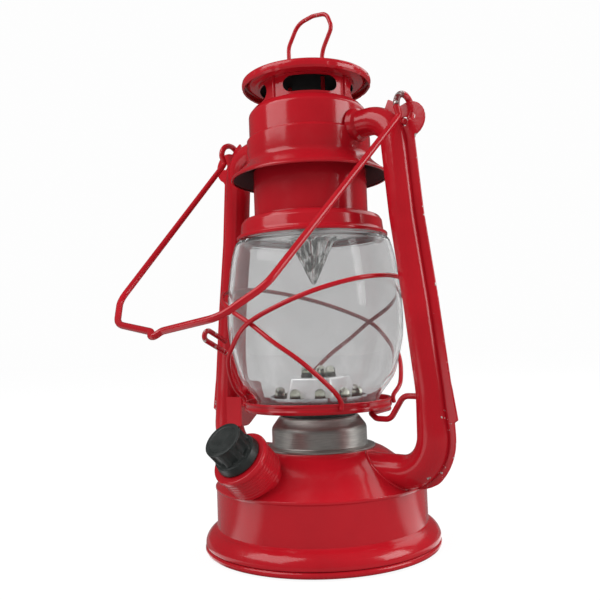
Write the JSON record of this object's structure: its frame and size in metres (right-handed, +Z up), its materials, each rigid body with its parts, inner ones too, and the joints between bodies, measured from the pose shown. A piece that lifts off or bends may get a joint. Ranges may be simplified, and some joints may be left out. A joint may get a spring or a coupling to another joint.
{
  "type": "battery lantern",
  "caption": "Red hurricane-style battery lantern with a clear globe, guard wires, lift lever, side tubes, vented hood, swinging bail and a dimmer knob on its base.",
  "frame": {"origin": "centre of the ring that the base stands on, at the ground", "axes": "+Z up, the side tubes along X, the dimmer knob at the front on -Y"},
  "size_m": [0.1564, 0.1592, 0.2642],
  "materials": {
    "red_paint": "gloss",
    "steel": "satin",
    "bright_metal": "mirror",
    "black_plastic": "matte",
    "cell_case": "satin",
    "spring_steel": "satin",
    "contact_brass": "satin",
    "screw_steel": "satin",
    "pot_case": "satin",
    "knob_black": "matte",
    "board_green": "satin",
    "led_epoxy": "gloss",
    "lead_skin": "matte",
    "clear_globe": "gloss"
  },
  "bodies": {
    "frame": {"fount_shell": "red_paint", "bottom_pan": "red_paint", "battery_tray": "black_plastic", "battery_cells": "cell_case", "contact_springs": "spring_steel", "contact_plates": "contact_brass", "tray_screws": "screw_steel", "door_hinge_pin": "screw_steel", "spout_collar": "red_paint", "dimmer_pot": "pot_case", "pot_nut": "screw_steel", "burner_cup": "steel", "led_holder": "black_plastic", "led_board": "board_green", "led_deck": "bright_metal", "leds": "led_epoxy", "deck_reflector": "bright_metal", "lead_wires": "lead_skin", "hood_shell": "red_paint", "vent_neck": "red_paint", "top_cap": "red_paint", "left_side_tube": "red_paint", "right_side_tube": "red_paint", "tube_collars": "red_paint", "lever_bracket": "red_paint"},
    "battery_door": {"battery_door": "black_plastic"},
    "dimmer": {"dimmer_shaft": "screw_steel", "dimmer_knob": "knob_black"},
    "lever": {"lift_lever": "red_paint"},
    "globe_carrier": {"globe_plate": "red_paint", "globe": "clear_globe", "guard_wire_left": "red_paint", "guard_wire_right": "red_paint"},
    "chimney": {"globe_collar": "red_paint", "chimney_tube": "red_paint", "cone_reflector": "bright_metal", "ring_crossbar": "steel", "lift_ring": "red_paint"},
    "bail": {"bail_handle": "red_paint"}
  },
  "joints": [
    {"name": "door_hinge", "type": "hinge", "parent": "frame", "child": "battery_door", "pos_m": [0, 0.03765, 0.0032], "axis": [1, 0, 0], "range_deg": [0, 100]},
    {"name": "dimmer_turn", "type": "hinge", "parent": "frame", "child": "dimmer", "pos_m": [0, -0.0552, 0.049], "axis": [0, -0.7314, 0.682], "range_deg": [-300, 0]},
    {"name": "globe_lift", "type": "slide", "parent": "frame", "child": "globe_carrier", "axis": [0, 0, 1], "range_m": [0, 0.008]},
    {"name": "lever_turn", "type": "hinge", "parent": "frame", "child": "lever", "pos_m": [0, 0, 0.0726], "axis": [1, 0, 0], "range_deg": [0, 16]},
    {"name": "chimney_lift", "type": "slide", "parent": "globe_carrier", "child": "chimney", "axis": [0, 0, 1], "range_m": [0, 0.012]},
    {"name": "bail_swing", "type": "hinge", "parent": "frame", "child": "bail", "pos_m": [0, 0, 0.20325], "axis": [-1, 0, 0], "range_deg": [0, 268]}
  ],
  "couplings": [
    {"joint": "lever_turn", "follows": "globe_lift", "rad_per_m": 34.69}
  ]
}
